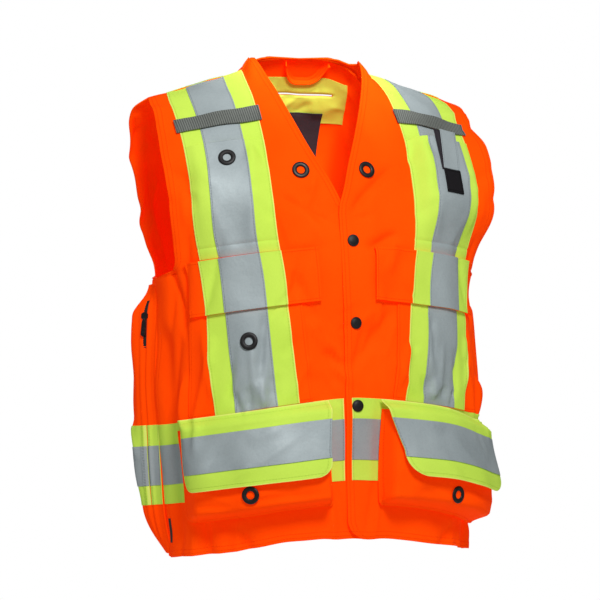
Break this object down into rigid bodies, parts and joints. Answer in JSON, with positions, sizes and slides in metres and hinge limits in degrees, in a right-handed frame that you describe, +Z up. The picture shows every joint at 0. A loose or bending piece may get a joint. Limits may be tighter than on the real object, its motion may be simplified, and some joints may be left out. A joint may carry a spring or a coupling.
{
  "type": "utility vest",
  "caption": "High-visibility work vest with a V neck, snap front, reflective tape, bellows hem pockets with flaps and a wide zipped pouch across the back.",
  "frame": {"origin": "between the two shoulder seams, at the height where the shoulder line crosses the middle of the neck", "axes": "+X to the wearer's left, +Y to the wearer's back, +Z up; the front faces -Y"},
  "size_m": [0.4652, 0.3173, 0.6394],
  "materials": {
    "orange_cloth": "woven polyester, fluorescent orange",
    "lime_tape": "woven tape, fluorescent lime",
    "silver_tape": "reflective silver tape, faint sheen",
    "grey_webbing": "ribbed reflective webbing",
    "black_hardware": "black enamel, satin",
    "black_zip": "moulded teeth",
    "dark_cloth": "black woven and looped cloth"
  },
  "bodies": {
    "root": {"back_panel": "orange_cloth", "front_panel_right": "orange_cloth", "front_panel_left": "orange_cloth", "slit_facing": "lime_tape", "neck_label": "dark_cloth", "hanging_loop": "orange_cloth", "shoulder_tape_right": "lime_tape", "shoulder_silver_right": "silver_tape", "webbing_loop_right": "grey_webbing", "shoulder_tape_left": "lime_tape", "shoulder_silver_left": "silver_tape", "webbing_loop_left": "grey_webbing", "chest_pocket_right": "lime_tape", "chest_silver_right": "silver_tape", "chest_pocket_left": "lime_tape", "chest_silver_left": "silver_tape", "radio_strap": "silver_tape", "radio_strap_patch": "dark_cloth", "middle_pocket_right": "orange_cloth", "lower_tape_right": "lime_tape", "lower_silver_right": "silver_tape", "middle_flap_right": "orange_cloth", "middle_flap_tape_right": "lime_tape", "middle_flap_silver_right": "silver_tape", "middle_pocket_left": "orange_cloth", "lower_tape_left": "lime_tape", "lower_silver_left": "silver_tape", "middle_flap_left": "orange_cloth", "middle_flap_tape_left": "lime_tape", "middle_flap_silver_left": "silver_tape", "waist_tape_right": "lime_tape", "waist_silver_right": "silver_tape", "waist_tape_left": "lime_tape", "waist_silver_left": "silver_tape", "hem_pocket_right": "orange_cloth", "hem_flap_right": "lime_tape", "hem_flap_silver_right": "silver_tape", "hem_pocket_left": "orange_cloth", "hem_flap_left": "lime_tape", "hem_flap_silver_left": "silver_tape", "back_pouch": "orange_cloth", "waist_tape_back": "lime_tape", "waist_silver_back": "silver_tape", "pouch_zip_right": "black_zip", "back_tape_right": "lime_tape", "back_silver_right": "silver_tape", "pouch_zip_left": "black_zip", "back_tape_left": "lime_tape", "back_silver_left": "silver_tape", "zip_pull_right": "black_zip", "zip_pull_left": "black_zip", "snap_1": "black_hardware", "snap_2": "black_hardware", "snap_3": "black_hardware", "grommet_chest_right": "black_hardware", "grommet_neck_right": "black_hardware", "grommet_neck_left": "black_hardware", "grommet_waist_right": "black_hardware", "grommet_pocket_right": "black_hardware", "grommet_pocket_left": "black_hardware"}
  },
  "joints": []
}
